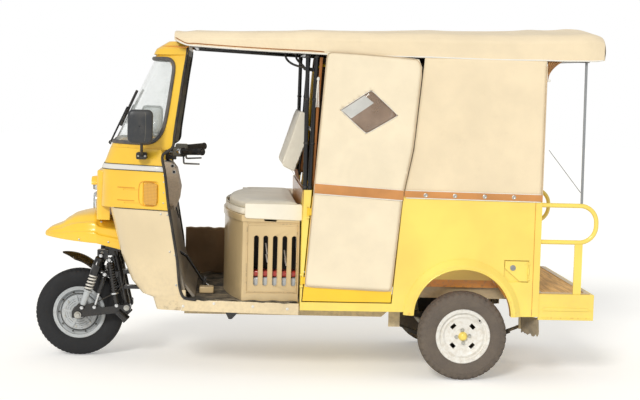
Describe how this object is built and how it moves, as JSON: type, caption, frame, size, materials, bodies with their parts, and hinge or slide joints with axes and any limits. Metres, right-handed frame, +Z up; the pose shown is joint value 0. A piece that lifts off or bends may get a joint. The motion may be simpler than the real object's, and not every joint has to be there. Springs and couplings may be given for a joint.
{
  "type": "auto rickshaw",
  "caption": "Three-wheeled auto rickshaw with a steered front wheel, open driver's cab, canvas-topped passenger cabin with side doors, and a railed rear platform.",
  "frame": {"origin": "on the ground, on the centre plane, midway between the front tyre's foremost point and the rear rails' rearmost point", "axes": "+X towards the rear, +Y towards the vehicle's right side, +Z up"},
  "size_m": [3.002, 1.296, 1.8878],
  "materials": {
    "chassis_paint": "semi-gloss enamel with road dust",
    "nose_beige": "gloss enamel",
    "front_yellow": "gloss enamel",
    "rear_yellow": "gloss enamel",
    "interior_brown": "satin",
    "black_steel": "gloss black",
    "spring_steel": "dusty black",
    "axle_iron": "dusty black",
    "rim_silver": "silver paint",
    "rim_white": "white paint",
    "tyre": "clean black",
    "tyre_dusty": "dusty",
    "glass": "clear",
    "black_plastic": "textured",
    "lamp_lens": "clear lens",
    "amber_lens": "amber lens",
    "dash_beige": "moulded",
    "canvas": "coated canvas",
    "seat_vinyl": "vinyl cloth",
    "flap_rubber": "ragged, dusty",
    "deck_board": "worn sheet over boards",
    "dark_sheet": "dark brown canvas",
    "engine_iron": "cast"
  },
  "bodies": {
    "body": {"chassis_frame": "chassis_paint", "cab_floor": "nose_beige", "nose_apron": "nose_beige", "cowl": "front_yellow", "front_mudguard": "front_yellow", "cab_frame": "front_yellow", "windscreen": "glass", "mirrors": "black_plastic", "dash_panel": "dash_beige", "seat_box": "nose_beige", "engine": "engine_iron", "driver_seat": "seat_vinyl", "driver_backrest": "seat_vinyl", "roof_frame": "black_steel", "canopy": "canvas", "side_curtains": "canvas", "rear_curtain": "canvas", "rear_quarters": "rear_yellow", "cabin_tub": "rear_yellow", "bench_base": "rear_yellow", "bench_cushions": "seat_vinyl", "rear_deck": "deck_board", "rear_bumper": "rear_yellow", "rear_rails": "rear_yellow", "rear_axle": "axle_iron", "leaf_springs": "spring_steel", "mudflaps": "flap_rubber", "headlamps": "lamp_lens", "signal_lamps": "amber_lens", "right_side_sheet": "dark_sheet", "pedals": "black_steel"},
    "steering": {"fork": "black_steel", "handlebar": "black_steel", "fork_arms": "black_steel", "shock_absorbers": "black_steel", "hugger": "black_plastic"},
    "front_wheel": {"front_tyre": "tyre", "front_rim": "rim_silver"},
    "rear_wheel_left": {"rear_tyre_left": "tyre_dusty", "rear_rim_left": "rim_white"},
    "rear_wheel_right": {"rear_tyre_right": "tyre_dusty", "rear_rim_right": "rim_white"},
    "door_left": {"door_left": "rear_yellow", "door_left_canvas": "canvas"},
    "door_right": {"door_right": "rear_yellow", "door_right_canvas": "canvas"},
    "filler_hatch": {"filler_hatch": "rear_yellow"}
  },
  "joints": [
    {"name": "steering", "type": "hinge", "parent": "body", "child": "steering", "pos_m": [-1.083, 0, 0.596], "axis": [0.515, 0, 0.8572], "range_deg": [-38, 38]},
    {"name": "front_wheel_spin", "type": "hinge", "parent": "steering", "child": "front_wheel", "pos_m": [-1.259, 0, 0.242], "axis": [0, 1, 0], "continuous": true},
    {"name": "rear_wheel_left_spin", "type": "hinge", "parent": "body", "child": "rear_wheel_left", "pos_m": [0.801, -0.554, 0.236], "axis": [0, 1, 0], "continuous": true},
    {"name": "rear_wheel_right_spin", "type": "hinge", "parent": "body", "child": "rear_wheel_right", "pos_m": [0.801, 0.554, 0.236], "axis": [0, 1, 0], "continuous": true},
    {"name": "door_left_swing", "type": "hinge", "parent": "body", "child": "door_left", "pos_m": [-0.067, -0.621, 0.37], "axis": [-0.0691, 0, -0.9976], "range_deg": [0, 80]},
    {"name": "door_right_swing", "type": "hinge", "parent": "body", "child": "door_right", "pos_m": [-0.067, 0.621, 0.37], "axis": [0.0691, 0, 0.9976], "range_deg": [0, 80]},
    {"name": "filler_hatch_swing", "type": "hinge", "parent": "body", "child": "filler_hatch", "pos_m": [1.133, -0.616, 0.589], "axis": [0, 0, 1], "range_deg": [0, 100]}
  ]
}
